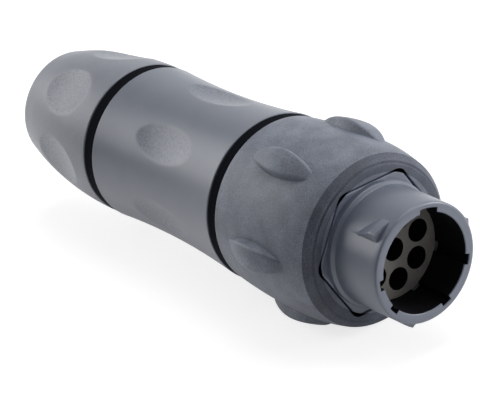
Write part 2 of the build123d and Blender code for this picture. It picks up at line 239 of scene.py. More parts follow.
def arc_side(points, start):
    """A function from station to radius, for the arc through three (length, radius) points."""
    (x1, y1), (x2, y2), (x3, y3) = [(start + length, radius) for length, radius in points]
    rows = np.array([[x2 - x1, y2 - y1], [x3 - x1, y3 - y1]]) * 2
    right = np.array([x2**2 - x1**2 + y2**2 - y1**2, x3**2 - x1**2 + y3**2 - y1**2])
    centre_x, centre_y = np.linalg.solve(rows, right)
    reach = np.hypot(x1 - centre_x, y1 - centre_y)
    sign = 1 if y1 > centre_y else -1
    return lambda station: centre_y + sign * np.sqrt(np.maximum(reach**2 - (station - centre_x) ** 2, 0))


def hexagon_radius(angles, across_flats, corner_radius):
    """The radius of a hexagon with rounded corners and a flat at the top, at each angle."""
    sector = FULL_TURN / 6
    half_sector = radians(sector / 2)
    apothem = across_flats / 2
    off = np.radians(np.abs((np.asarray(angles) + sector / 2) % sector - sector / 2))
    centre = (apothem - corner_radius) / cos(half_sector)
    tangent = np.arctan((apothem - corner_radius) * tan(half_sector) / apothem)
    from_corner = half_sector - off
    inside = np.maximum(corner_radius**2 - (centre * np.sin(from_corner)) ** 2, 0)
    rounded = centre * np.cos(from_corner) + np.sqrt(inside)
    return np.where(off <= tangent, apothem / np.cos(off), rounded)


def thread_rows(start, end, crest, angles, depth, step):
    """Rows of a thread that fades in and out at its ends. A depth below 0 is cut towards the axis."""
    rows = int(round(abs(end - start) / step))
    station = np.linspace(start, end, rows + 1)[:, None] * np.ones(len(angles))
    phase = (station / THREAD_PITCH + np.asarray(angles) / FULL_TURN) % 1
    ridge = (THREAD_ROOT_HALF - np.abs(phase - 0.5)) / (THREAD_ROOT_HALF - THREAD_CREST_HALF)
    fade_in = smooth_step((station - min(start, end)) / THREAD_PITCH)
    fade_out = smooth_step((max(start, end) - station) / THREAD_PITCH)
    return station, crest + depth * (1 - np.clip(ridge, 0, 1)) * fade_in * fade_out


def external_thread(start, end, crest, angles):
    return thread_rows(start, end, crest, angles, -THREAD_DEPTH, OUTER_THREAD_STEP)


def internal_thread(start, end, crest, angles):
    """A thread in a bore, from its inner end out to its mouth."""
    start, end = start - INNER_THREAD_START, end + INNER_THREAD_END
    return thread_rows(start, end, crest, angles, THREAD_DEPTH, INNER_THREAD_STEP)


def mark_edges(mesh, points):
    """Stores 0 to 1 at each point of a grid mesh: how sharply the surface bends outwards there."""
    normals = np.empty(points.size)
    mesh.vertex_normals.foreach_get("vector", normals)
    normals = normals.reshape(points.shape)
    bend = np.zeros(points.shape[:2])
    for axis in (0, 1):
        fall = np.zeros(bend.shape)
        for side in (1, -1):
            away = np.roll(points, side, axis=axis) - points
            length = np.maximum(np.linalg.norm(away, axis=-1), SHORTEST_SPAN * MM)
            fall -= np.sum(normals * away, axis=-1) / length**2 * MM
        bend = np.maximum(bend, fall)
    attribute = mesh.attributes.new("edge", "FLOAT", "POINT")
    share = smooth_step((bend - EDGE_BEND_LOW) / (EDGE_BEND_HIGH - EDGE_BEND_LOW))
    attribute.data.foreach_set("value", share.ravel().astype(np.float32))


def grid_mesh(name, bands, angles):
    """A closed tube-like mesh from bands of (station, radius) rows round the axis."""
    station = np.concatenate([band[0] for band in bands])
    radius = np.concatenate([band[1] for band in bands])
    points = to_points(station, radius, np.asarray(angles) * np.ones_like(station))
    rows, columns = station.shape
    index = np.arange(rows * columns).reshape(rows, columns)
    next_row = np.roll(index, -1, axis=0)
    right = np.roll(index, -1, axis=1)
    next_right = np.roll(next_row, -1, axis=1)
    faces = np.stack([index, next_row, next_right, right], axis=-1).reshape(-1, 4)
    mesh = bpy.data.meshes.new(name)
    mesh.from_pydata(points.reshape(-1, 3).tolist(), [], faces.tolist())
    mesh.validate()
    mesh.update()
    mark_edges(mesh, points)
    return mesh


def finish_mesh(mesh, material, body, slot, *nodes):
    """Makes a piece of a mesh: smooth shading, material, the body it rides on and what it replaces."""
    piece = bpy.data.objects.new(mesh.name, mesh)
    bpy.context.scene.collection.objects.link(piece)
    mesh.polygons.foreach_set("use_smooth", [True] * len(mesh.polygons))
    mesh.set_sharp_from_angle(angle=radians(SMOOTH_ANGLE))
    mesh.materials.append(material)
    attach(piece, body)
    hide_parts(*nodes)


def paint_rows(mesh, material, columns, first, last):
    """Gives a second material to the faces of a grid mesh from one row to another."""
    mesh.materials.append(material)
    for polygon in mesh.polygons[first * columns:last * columns]:
        polygon.material_index = 1


# Receptacle shell
BARREL_RADIUS = 9.5
BARREL_BORE_RADIUS = 7.9
RIM_ROUNDING = 0.55
COLLAR_HEIGHT = 0.45
COLLAR_LENGTH = 0.9
COLLAR_ROUNDING = 0.3
HEX_ACROSS_FLATS = 20.0
HEX_CORNER_RADIUS = 1.8
FLANGE_ROUNDING = 0.22
FLANGE_FACE_INSET = 0.6
SKIRT_RADIUS = 9.1
SKIRT_BORE_RADIUS = 8.2
GROOVE_RADIUS = 8.5
RETAINER_WIDTH = 1.2
# Rows at the bore's mouth that keep the shell's colour; the rest of the bore is painted shade, near black
BORE_RIM_ROWS = 2

# Keyways in its bore: one wide, and four narrow ones at angles from it
KEY_RADIUS = 8.6
MAIN_KEY_ANGLE = -13.4
MAIN_KEY_WIDTH = 3.3
SIDE_KEY_WIDTH = 1.7
SIDE_KEY_OFFSETS = (105, 140, 215, 265)
KEYWAYS = [(MAIN_KEY_ANGLE, MAIN_KEY_WIDTH)]
KEYWAYS += [(MAIN_KEY_ANGLE + offset, SIDE_KEY_WIDTH) for offset in SIDE_KEY_OFFSETS]

# Bayonet studs, at angles from the wide keyway, and the finer mesh over them
STUD_OFFSETS = (50, 170, 290)
STUD_HEIGHT = 1.05
STUD_START = 1.3
STUD_LENGTH = 4.2
STUD_CREST_LENGTH = 1.4
STUD_TAIL_LENGTH = 1.9
STUD_RAMP_ANGLE = 18.0
STUD_DROP_ANGLE = 5.0
STUD_WALL_SLOPE = 6.0
STUD_BLEND = 0.16
STUD_MARGIN = 3
STUD_COLUMN_STEP = 0.5
STUD_ROW_STEP = 0.1


def key_radius(angles):
    """The bore's radius at each angle, out to the floor of each keyway."""
    radius = np.full(len(angles), BARREL_BORE_RADIUS)
    for middle, width in KEYWAYS:
        half = degrees(asin(width / 2 / KEY_RADIUS))
        inside = np.abs(wrap(angles - middle)) <= half + ANGLE_SLACK
        radius = np.where(inside, KEY_RADIUS, radius)
    return radius


def key_angles():
    """The angles of both edges of every keyway, at its floor and at the bore."""
    found = []
    for middle, width in KEYWAYS:
        for radius in (KEY_RADIUS, BARREL_BORE_RADIUS):
            half = degrees(asin(width / 2 / radius))
            found += [middle - half, middle + half]
    return found


def stud_angles():
    """Close columns across every stud."""
    start = -STUD_RAMP_ANGLE / 2 - STUD_MARGIN
    end = STUD_RAMP_ANGLE / 2 + STUD_DROP_ANGLE + STUD_MARGIN
    turns = np.arange(start, end, STUD_COLUMN_STEP)
    return [MAIN_KEY_ANGLE + offset + turn for offset in STUD_OFFSETS for turn in turns]


def stud_lift(station, angles):
    """How far the studs stand above the barrel: a ramp, a steep drop, a front wall and a rear flank."""
    lift = np.zeros(station.shape)
    start = -STUD_RAMP_ANGLE / 2
    crest = start + STUD_RAMP_ANGLE
    behind = station - STUD_START
    flank_slope = STUD_HEIGHT / (STUD_LENGTH - STUD_CREST_LENGTH)
    for offset in STUD_OFFSETS:
        off = wrap(angles - MAIN_KEY_ANGLE - offset)
        share = (off - start) / STUD_RAMP_ANGLE
        ramp = share * STUD_HEIGHT
        drop = (1 - (off - crest) / STUD_DROP_ANGLE) * STUD_HEIGHT
        front = behind * STUD_WALL_SLOPE
        foot = STUD_TAIL_LENGTH + (STUD_LENGTH - STUD_TAIL_LENGTH) * share
        flank = (foot - behind) * flank_slope
        top = soft_min(soft_min(ramp, drop, STUD_BLEND), soft_min(front, flank, STUD_BLEND), STUD_BLEND)
        lift = np.maximum(lift, top)
    return lift


def receptacle_shell(material, bore_shade_material):
    """The keyed barrel with its studs, collar and hexagonal flange, and the threaded skirt behind."""
    angles = columns_with(key_angles() + stud_angles())
    collar_front = RING_FRONT - COLLAR_LENGTH
    collar_radius = BARREL_RADIUS + COLLAR_HEIGHT
    stud_end = STUD_START + STUD_LENGTH + STUD_BLEND
    flange_back = GASKET_FRONT
    thread_start = flange_back + THREAD_PITCH
    retainer_back = INSERT_BACK + RETAINER_WIDTH
    rim = turned_rows([
        (0, KEY_RADIUS + EDGE), (0, BARREL_RADIUS, RIM_ROUNDING), (STUD_START - EDGE, BARREL_RADIUS),
    ], angles)
    studs = side_rows(lambda station: BARREL_RADIUS + stud_lift(station, angles),
                      STUD_START, stud_end, angles, STUD_ROW_STEP)
    barrel = turned_rows([
        (stud_end + ROW_STEP, BARREL_RADIUS),
        (collar_front - COLLAR_HEIGHT, BARREL_RADIUS, COLLAR_ROUNDING),
        (collar_front, collar_radius, COLLAR_ROUNDING), (RING_FRONT, collar_radius),
    ], angles)
    # The second value of these corners is how far they lie inside the hexagon
    flange = outline([
        (RING_FRONT, FLANGE_FACE_INSET), (RING_FRONT, 0, FLANGE_ROUNDING),
        (flange_back, 0), (flange_back, FLANGE_FACE_INSET),
    ])
    hexagon = hexagon_radius(angles, HEX_ACROSS_FLATS, HEX_CORNER_RADIUS)
    flange = shaped_rows(flange[:, 0], hexagon, -flange[:, 1])
    skirt = turned_rows([(flange_back, SKIRT_RADIUS), (thread_start, SKIRT_RADIUS)], angles)
    thread = external_thread(thread_start, SKIRT_END - EDGE, SKIRT_RADIUS, angles)
    inside = turned_rows([
        (SKIRT_END, SKIRT_RADIUS - EDGE * 2), (SKIRT_END, SKIRT_BORE_RADIUS),
        (retainer_back, SKIRT_BORE_RADIUS, 0), (retainer_back, GROOVE_RADIUS, 0),
        (INSERT_BACK, GROOVE_RADIUS, 0), (INSERT_BACK, SKIRT_BORE_RADIUS, 0),
        (INSERT_FRONT, SKIRT_BORE_RADIUS),
    ], angles)
    bore = shaped_rows([INSERT_FRONT, INSERT_FRONT / 2, EDGE, 0], key_radius(angles), [0, 0, 0, EDGE])
    outside = [rim, studs, barrel, flange, skirt, thread, inside]
    mesh = grid_mesh("receptacle_shell_fine", [*outside, bore], angles)
    finish_mesh(mesh, material, "receptacle", "shell_plastic", "receptacle_shell")
    # Painted shade: the bore's faces, all but the rows at its mouth, get a near-black material in place of
    # the shade inside it
    first = sum(len(band[0]) for band in outside)
    paint_rows(mesh, bore_shade_material, len(angles), first, first + len(bore[0]) - BORE_RIM_ROWS)


# Front ring
RING_FACE_RADIUS = 12.25
RING_FACE_INSET = 1.2
RING_STEP_DEPTH = 0.35
RING_STEP_ROUNDING = 0.1
RING_NOSE_RADIUS = 12.75
RING_NOSE_ROUNDING = 0.25
RING_BEVEL_LENGTH = 1.4
RING_SHOULDER_RADIUS = 13.65
RING_SHOULDER_ROUNDING = 0.3
RING_CROWN_RADIUS = 14.4
RING_CROWN_SETBACK = 8.4
RING_BACK_RADIUS = 13.42
RING_BACK_DROP = 0.2
RING_BACK_ROUNDING = 0.1
RING_TAIL_MARGIN = 0.05
RING_TAIL_DROP = 0.02
RING_BORE_RADIUS = 12.1
RING_BORE_ROUNDING = 0.25
RECESS_FIT = 0.25
WEB_THICKNESS = 3.0
WEB_HOLE_RADIUS = 9.5
WEB_CORNER_ROUNDING = 0.2
WEB_HOLE_ROUNDING = 0.15
# Rows at the back of the nose that keep the ring's own colour; ahead of them the nose is painted shade
NOSE_BLEND_ROWS = 4

# Its grip pads. Columns lie inside each pad, on each of its walls and between pads, and past a
# pad's ends they spread out evenly over a length.
PAD_COUNT = 6
PAD_ANGLE = 30
PAD_LENGTH = 16.2
PAD_WIDTH = 4.4
PAD_NARROWEST = 0.12
PAD_CENTRE_SETBACK = 11.7
PAD_CROWN_RADIUS = 15.9
PAD_END_SINK = 0.3
PAD_EDGE_RADIUS = 0.5
PAD_BLEND = 0.06
PAD_WALL_WIDTH = 0.03
PAD_INSIDE_COLUMNS = 26
PAD_WALL_COLUMNS = 3
PAD_BETWEEN_COLUMNS = 38
PAD_SPREAD_LENGTH = 2.4


def ring_side(station):
    """The ring's outer radius: two arcs that meet at the crown."""
    crown = RING_FRONT + RING_CROWN_SETBACK
    ahead = arc_radius(RING_CROWN_SETBACK - RING_BEVEL_LENGTH, RING_CROWN_RADIUS - RING_SHOULDER_RADIUS)
    behind = arc_radius(RING_BACK - crown, RING_CROWN_RADIUS - RING_BACK_RADIUS)
    reach = np.where(station < crown, ahead, behind)
    return RING_CROWN_RADIUS - arc_fall(reach, station - crown)


def pad_crown(station):
    """The radius of the pads' tops along the ring."""
    reach = arc_radius(PAD_LENGTH / 2, PAD_CROWN_RADIUS - (RING_BACK_RADIUS - PAD_END_SINK))
    return PAD_CROWN_RADIUS - arc_fall(reach, station - RING_FRONT - PAD_CENTRE_SETBACK)


def pad_half_width(along):
    """Half the width of a pad's almond outline at a distance along from its middle."""
    return PAD_WIDTH / 2 - arc_fall(arc_radius(PAD_LENGTH / 2, PAD_WIDTH / 2), along)


def pad_columns(station):
    """Angles for every row that follow the pads' outlines, each column's share and the half widths.

    The share is -1 to 1 inside a pad, grows to 2 down its wall and is 2 or more between pads."""
    sector = FULL_TURN / PAD_COUNT
    along = np.abs(station - (RING_FRONT + PAD_CENTRE_SETBACK))
    past_end = smooth_step((along - PAD_LENGTH / 2) / PAD_SPREAD_LENGTH)
    half = np.maximum(pad_half_width(along), PAD_NARROWEST)
    half = half * (1 - past_end) + radians(sector / 4) * RING_CROWN_RADIUS * past_end
    inside = np.sin(np.linspace(-1, 1, PAD_INSIDE_COLUMNS) * pi / 2)
    wall = np.linspace(0, 1, PAD_WALL_COLUMNS + 1)[1:]
    back_up = 1 - wall + wall[0]
    between = np.linspace(0, 1, PAD_BETWEEN_COLUMNS + 2)[1:-1]
    base = ring_side(station)
    top = np.maximum(pad_crown(station), base)
    half_angle = np.degrees(half / top)[:, None]
    wall_angle = np.degrees((half + PAD_WALL_WIDTH) / base)[:, None] - half_angle
    gap = sector - 2 * half_angle - 2 * wall_angle
    one_pad = np.concatenate([
        inside * half_angle, half_angle + wall * wall_angle,
        half_angle + wall_angle + between * gap, sector - half_angle - back_up * wall_angle,
    ], axis=1)
    shares = np.concatenate([inside, 1 + wall, np.full(len(between), 2 + wall[0]), 1 + back_up])
    angles = np.concatenate([one_pad + PAD_ANGLE + sector * index for index in range(PAD_COUNT)], axis=1)
    return angles, np.tile(shares, PAD_COUNT), half


def padded_side(station, share, half):
    """The ring's outer radius with its pads, at the columns that pad_columns lays out."""
    off = np.abs(share)
    base = ring_side(station)
    short = np.clip(PAD_EDGE_RADIUS - half[:, None] * (1 - off), 0, PAD_EDGE_RADIUS)
    rounded = pad_crown(station) - arc_fall(PAD_EDGE_RADIUS, short)
    top = np.maximum(soft_max(base, rounded, PAD_BLEND), base)
    side = np.where(off <= 1, top, top + (base - top) * np.clip(off - 1, 0, 1))
    return np.where(off >= 2, base, side)


def front_ring(material, nose_shade_material):
    """The crowned ring with its pads, stepped nose, hexagonal recess and web."""
    shoulder = RING_FRONT + RING_BEVEL_LENGTH
    rows = int(np.ceil((RING_BACK - shoulder) / ROW_STEP))
    along = np.linspace(shoulder + EDGE, RING_BACK - EDGE, rows + 1)
    side_angles, share, half = pad_columns(along)
    columns = side_angles.shape[1]
    station = along[:, None] * np.ones(columns)
    side = (station, padded_side(station, share, half))
    even = side_angles[0]
    step = RING_FRONT + RING_STEP_DEPTH
    nose = without_last_row(turned_rows([
        (RING_FRONT, RING_FACE_RADIUS - RING_FACE_INSET),
        (RING_FRONT, RING_FACE_RADIUS, RING_STEP_ROUNDING), (step, RING_FACE_RADIUS, RING_STEP_ROUNDING),
        (step, RING_NOSE_RADIUS, RING_NOSE_ROUNDING),
        (shoulder, RING_SHOULDER_RADIUS, RING_SHOULDER_ROUNDING),
        (shoulder + AIM_LENGTH, ring_side(shoulder + AIM_LENGTH)),
    ], even))
    web_back = GASKET_BACK + WEB_THICKNESS
    tail = turned_rows([
        (RING_BACK - RING_TAIL_MARGIN, RING_BACK_RADIUS - RING_TAIL_DROP),
        (RING_BACK, RING_BACK_RADIUS - RING_BACK_DROP, RING_BACK_ROUNDING),
        (RING_BACK, RING_BORE_RADIUS, RING_BORE_ROUNDING),
        (web_back, RING_BORE_RADIUS, WEB_CORNER_ROUNDING),
        (web_back, WEB_HOLE_RADIUS, WEB_HOLE_ROUNDING), (GASKET_BACK, WEB_HOLE_RADIUS),
    ], even)
    recess = hexagon_radius(even, HEX_ACROSS_FLATS + RECESS_FIT * 2, HEX_CORNER_RADIUS)
    hole = shaped_rows([GASKET_BACK, RING_FRONT + EDGE, RING_FRONT], recess, [0, 0, EDGE])
    bands = [nose, side, tail, hole]
    angles = [side_angles if band is side else even * np.ones_like(band[0]) for band in bands]
    mesh = grid_mesh("front_ring_fine", bands, np.concatenate(angles))
    finish_mesh(mesh, material, "receptacle", "ring_plastic", "front_ring")
    # Painted shade: the nose's face, step and bevel, all but its last rows, get a darker copy of the
    # ring's plastic
    paint_rows(mesh, nose_shade_material, columns, 0, len(nose[0]) - NOSE_BLEND_ROWS)


# Finger recesses, laid out from the body's shoulder and the nut's front. Their edge is rounded off
# within a height, and nothing is cut past the angle from their middle that has this cosine.
DIMPLE_COUNT = 6
DIMPLE_EDGE = 0.05
DIMPLE_SIDE_COSINE = 0.5
BODY_DIMPLE = {"angle": -12.5, "setback": 14.9, "length": 12.6, "width": 6.0, "depth": 0.6}
NUT_DIMPLE = {"angle": -20.5, "setback": 9.1, "length": 13.6, "width": 8.4, "depth": 0.8}

# How deep a point lies, in shares of DIMPLE_EDGE, where the recess texture begins, and over how much
# more depth it grows to full
RECESS_FADE_START = 0.3
RECESS_FADE_DEPTH = 1.5


def sink_dimples(station, radius, angles, front, angle, setback, length, width, depth):
    """Cuts oval recesses into a band. Returns the new radii and how far each point was sunk."""
    middle = front + setback
    rows = station[:, 0]
    at_middle = np.interp(middle, rows, radius[:, 0])
    ahead, behind = np.interp((middle - length / 4, middle + length / 4), rows, radius[:, 0])
    slope = (behind - ahead) / (length / 2)
    bow = length**2 / (8 * depth)
    belly = 1 / (8 * depth / width**2 - 1 / at_middle)
    along = station - middle
    cut = radius.copy()
    for index in range(DIMPLE_COUNT):
        off = np.radians(wrap(angles - angle - index * FULL_TURN / DIMPLE_COUNT))
        across = radius * np.sin(off)
        facing = np.cos(off) > DIMPLE_SIDE_COSINE
        near = facing & (np.abs(across) < belly) & (np.abs(along) < length)
        height = at_middle - depth + slope * along + arc_fall(bow, along) + arc_fall(belly, across)
        floor = height / np.maximum(np.cos(off), DIMPLE_SIDE_COSINE)
        cut = soft_min(cut, np.where(near, floor, radius * 2), DIMPLE_EDGE)
    return cut, radius - cut


def mark_recess(mesh, sunk, first_row, columns):
    """Stores how far each point was sunk, 0 to 1, for the coarser texture of the recesses."""
    attribute = mesh.attributes.new("recess", "FLOAT", "POINT")
    values = np.zeros(len(mesh.vertices), np.float32)
    flat = smooth_step((sunk.ravel() / DIMPLE_EDGE - RECESS_FADE_START) / RECESS_FADE_DEPTH)
    values[first_row * columns:first_row * columns + flat.size] = flat
    attribute.data.foreach_set("value", values)


# Body. The points of its side are lengths behind the shoulder and radii.
BODY_SIDE = ((0, 13.4), (21.5, 12.03), (30.8, 12.3))
BODY_BACK_MARGIN = 0.1
BODY_BACK_DROP = 0.03
BODY_BACK_ROUNDING = 0.08
SPIGOT_RADIUS = 12.0
SPIGOT_ROUNDING = 0.4
SPIGOT_FACE_INSET = 0.2
SHOULDER_DROP = 0.01
FRONT_THREAD_RADIUS = 9.2
FRONT_THREAD_RUNOUT = 1.5
BODY_CAVITY_RADIUS = 9.6
BODY_CAVITY_ROUNDING = 0.5
CAGE_STOP_RADIUS = 7.0
CAGE_STOP_WIDTH = 3.2
CAGE_STOP_CONE = 2.6
CAGE_STOP_BACK_ROUNDING = 0.2
CAGE_STOP_FRONT_ROUNDING = 0.3
SEAL_LAND_RADIUS = 10.9
SEAL_LAND_ROUNDING = 0.2
GLAND_THREAD_RADIUS = 9.9
GLAND_THREAD_RELIEF = 0.6
GLAND_FACE_INSET = 0.3
GLAND_BORE_RADIUS = 8.1
GLAND_BORE_ROUNDING = 0.2


def backshell_body(material):
    """The waisted hollow body with its front spigot, seal land and rear threaded spigot."""
    angles = even_angles()
    side = arc_side(BODY_SIDE, SHOULDER)
    front = without_last_row(turned_rows([
        (SPIGOT_FRONT, FRONT_THREAD_RADIUS + SPIGOT_FACE_INSET),
        (SPIGOT_FRONT, SPIGOT_RADIUS, SPIGOT_ROUNDING), (SHOULDER, SPIGOT_RADIUS, 0),
        (SHOULDER, side(SHOULDER) - SHOULDER_DROP), (SHOULDER + AIM_LENGTH, side(SHOULDER + AIM_LENGTH)),
    ], angles))
    station, radius = side_rows(side, SHOULDER + SIDE_MARGIN, BODY_BACK - SIDE_MARGIN, angles)
    radius, sunk = sink_dimples(station, radius, angles, SHOULDER, **BODY_DIMPLE)
    last_row = BODY_BACK - BODY_BACK_MARGIN
    thread_start = NUT_FRONT + GLAND_THREAD_RELIEF
    land = turned_rows([
        (last_row, side(last_row)), (BODY_BACK, side(BODY_BACK) - BODY_BACK_DROP, BODY_BACK_ROUNDING),
        (BODY_BACK, SEAL_LAND_RADIUS, 0), (NUT_FRONT, SEAL_LAND_RADIUS, SEAL_LAND_ROUNDING),
        (NUT_FRONT, GLAND_THREAD_RADIUS, 0), (thread_start, GLAND_THREAD_RADIUS),
    ], angles)
    thread = external_thread(thread_start, GLAND_SPIGOT_END - EDGE, GLAND_THREAD_RADIUS, angles)
    stop_front = CAGE_FRONT - CAGE_STOP_WIDTH
    bore_end = SKIRT_END + FRONT_THREAD_RUNOUT
    inside = turned_rows([
        (GLAND_SPIGOT_END, GLAND_THREAD_RADIUS - GLAND_FACE_INSET),
        (GLAND_SPIGOT_END, GLAND_BORE_RADIUS, GLAND_BORE_ROUNDING), (CAGE_FRONT, GLAND_BORE_RADIUS, 0),
        (CAGE_FRONT, CAGE_STOP_RADIUS, CAGE_STOP_BACK_ROUNDING),
        (stop_front, CAGE_STOP_RADIUS, CAGE_STOP_FRONT_ROUNDING),
        (stop_front - CAGE_STOP_CONE, BODY_CAVITY_RADIUS, BODY_CAVITY_ROUNDING),
        (bore_end, BODY_CAVITY_RADIUS, 0), (bore_end, FRONT_THREAD_RADIUS),
    ], angles, INSIDE_STEP)
    bore = internal_thread(bore_end, SPIGOT_FRONT, FRONT_THREAD_RADIUS, angles)
    bands = [front, (station, radius), land, thread, inside, bore]
    mesh = grid_mesh("backshell_body_fine", bands, angles)
    mark_recess(mesh, sunk, len(front[0]), len(angles))
    finish_mesh(mesh, material, "backshell", "body_plastic", "backshell_body")


# Gland nut. The points of its side are lengths behind its front and radii.
NUT_SIDE = ((0, 12.25), (10.6, 11.37), (21.2, 8.66))
NUT_FRONT_ROUNDING = 0.15
NUT_FACE_INSET = 0.3
NUT_THREAD_RADIUS = 10.0
NUT_THREAD_RUNOUT = 0.7
NUT_CONE_RADIUS = 8.1
NUT_TIP_RADIUS = 7.35
NUT_TIP_GAP = 0.4
NUT_STEP_ROUNDING = 0.1
NUT_HOLE_RADIUS = 6.2
NUT_HOLE_ROUNDING = 0.3
NUT_END_ROUNDING = 2.5
NUT_END_LENGTH = 4.25
NUT_END_STEP = ROW_STEP * 2
CAGE_STRAIGHT_LENGTH = 13.8


def gland_nut(material):
    """The domed nut with its recesses, cable hole, cone for the cage and thread."""
    angles = even_angles()
    side = arc_side(NUT_SIDE, NUT_FRONT)
    front = without_last_row(turned_rows([
        (NUT_FRONT, NUT_THREAD_RADIUS + NUT_FACE_INSET), (NUT_FRONT, side(NUT_FRONT), NUT_FRONT_ROUNDING),
        (NUT_FRONT + AIM_LENGTH, side(NUT_FRONT + AIM_LENGTH)),
    ], angles))
    end_start = NUT_BACK - NUT_END_LENGTH
    station, radius = side_rows(side, NUT_FRONT + SIDE_MARGIN, end_start, angles)
    radius, sunk = sink_dimples(station, radius, angles, NUT_FRONT, **NUT_DIMPLE)
    tip_end = CAGE_BACK + NUT_TIP_GAP
    taper_start = CAGE_FRONT + CAGE_STRAIGHT_LENGTH
    thread_end = GLAND_SPIGOT_END + NUT_THREAD_RUNOUT
    end = turned_rows([
        (end_start, side(end_start)), (NUT_BACK, side(NUT_BACK), NUT_END_ROUNDING),
        (NUT_BACK, NUT_HOLE_RADIUS, NUT_HOLE_ROUNDING), (tip_end, NUT_HOLE_RADIUS, NUT_STEP_ROUNDING),
        (tip_end, NUT_TIP_RADIUS, 0), (CAGE_BACK, NUT_TIP_RADIUS, 0), (taper_start, NUT_CONE_RADIUS, 0),
        (thread_end, NUT_CONE_RADIUS, 0), (thread_end, NUT_THREAD_RADIUS),
    ], angles, NUT_END_STEP)
    end = (end[0][1:], end[1][1:])
    bore = internal_thread(thread_end, NUT_FRONT, NUT_THREAD_RADIUS, angles)
    mesh = grid_mesh("gland_nut_fine", [front, (station, radius), end, bore], angles)
    mark_recess(mesh, sunk, len(front[0]), len(angles))
    finish_mesh(mesh, material, "gland", "nut_plastic", "gland_nut")


# Seal rings: the fit on their lands, how far they lie below the piece beside them, the slight hollow
# of their outer face, and how far above the bore the first and last rows of the front face lie
SEAL_FIT = 0.1
SEAL_RECESS = 0.12
SEAL_HOLLOW = 0.03
SEAL_HOLLOW_ROUNDING = 0.5
SEAL_EDGE_ROUNDING = 0.25
SEAL_BORE_ROUNDING = 0.2
SEAL_FIRST_INSET = 0.3
SEAL_LAST_INSET = 0.2


def seal_ring(name, node, body, land_radius, neighbour_radius, material):
    """A square-cut rubber ring with rounded edges and a slightly hollow outer face."""
    angles = even_angles()
    front, back = stations(node)
    middle = (front + back) / 2
    bore = land_radius + SEAL_FIT
    outer = neighbour_radius - SEAL_RECESS
    rows = turned_rows([
        (front, bore + SEAL_FIRST_INSET), (front, outer, SEAL_EDGE_ROUNDING),
        (middle, outer - SEAL_HOLLOW, SEAL_HOLLOW_ROUNDING), (back, outer, SEAL_EDGE_ROUNDING),
        (back, bore, SEAL_BORE_ROUNDING), (front, bore, SEAL_BORE_ROUNDING),
        (front, bore + SEAL_LAST_INSET),
    ], angles, SEAL_STEP)
    finish_mesh(grid_mesh(name, [rows], angles), material, body, "seal_rubber", node)


# Insert: cavities round the axis, turned from the wide keyway, and one on the axis.
# Its edges are broken at the face and less so at the block behind it. A polygon inside it whose
# normal has a smaller share along X than CAVITY_WALL_NORMAL is a cavity's wall, which is painted near
# black as shade.
INSERT_RADIUS = 8.1
CAVITY_COUNT = 7
CAVITY_PITCH_RADIUS = 5.0
CAVITY_START_OFFSET = -11.0
CAVITY_MOUTH_RADIUS = 1.8
CAVITY_RADIUS = 1.45
FACE_EDGE = 0.1
BLOCK_EDGE = 0.05
CAVITY_WALL_NORMAL = 0.5
CIRCLE_POINTS = 8
CIRCLE_STEPS = 12
EDGE_STEPS = 2


def circle_spline(curve, y, z, radius):
    """Adds a circle to a curve, in metres."""
    spline = curve.splines.new("BEZIER")
    spline.bezier_points.add(CIRCLE_POINTS - 1)
    reach = radius * 4 / 3 * tan(pi / CIRCLE_POINTS / 2)
    for index, point in enumerate(spline.bezier_points):
        turn = 2 * pi * index / CIRCLE_POINTS
        radial = Vector((cos(turn), sin(turn), 0))
        along = Vector((-sin(turn), cos(turn), 0))
        point.co = Vector((y, z, 0)) + radial * radius
        point.handle_left = point.co - along * reach
        point.handle_right = point.co + along * reach
    spline.use_cyclic_u = True


def drilled_disc(name, front, back, hole_radius, edge):
    """A mesh of a length of the insert, with its cavities and slightly broken edges."""
    curve = bpy.data.curves.new(name, "CURVE")
    curve.dimensions = "2D"
    curve.fill_mode = "BOTH"
    curve.resolution_u = CIRCLE_STEPS
    curve.extrude = ((back - front) / 2 - edge) * MM
    curve.bevel_depth = edge * MM
    curve.offset = -edge * MM
    curve.bevel_resolution = EDGE_STEPS
    circle_spline(curve, 0, 0, INSERT_RADIUS * MM)
    for y, z in cavity_places():
        circle_spline(curve, y * MM, z * MM, hole_radius * MM)
    shape = bpy.data.objects.new(name, curve)
    bpy.context.scene.collection.objects.link(shape)
    bpy.context.view_layer.update()
    mesh = bpy.data.meshes.new_from_object(shape)
    bpy.data.objects.remove(shape)
    bpy.data.curves.remove(curve)
    # The curve lies in its own XY plane: its X becomes Y, its Y becomes Z and its Z becomes X.
    middle = (front + back) / 2 * MM
    mesh.transform(Matrix(((0, 0, 1, -middle), (1, 0, 0, 0), (0, 1, 0, 0), (0, 0, 0, 1))))
    return mesh


def cavity_places():
    """Side and height of the centre cavity and of the ring of cavities round it."""
    places = [(0.0, 0.0)]
    for index in range(CAVITY_COUNT):
        turn = radians(MAIN_KEY_ANGLE + CAVITY_START_OFFSET + FULL_TURN / CAVITY_COUNT * index)
        places.append((-CAVITY_PITCH_RADIUS * sin(turn), CAVITY_PITCH_RADIUS * cos(turn)))
    return places


def joined(name, meshes):
    """One mesh made of several."""
    points, faces = [], []
    for mesh in meshes:
        first = len(points)
        points += [tuple(vertex.co) for vertex in mesh.vertices]
        faces += [[first + index for index in polygon.vertices] for polygon in mesh.polygons]
    whole = bpy.data.meshes.new(name)
    whole.from_pydata(points, [], faces)
    whole.update()
    return whole


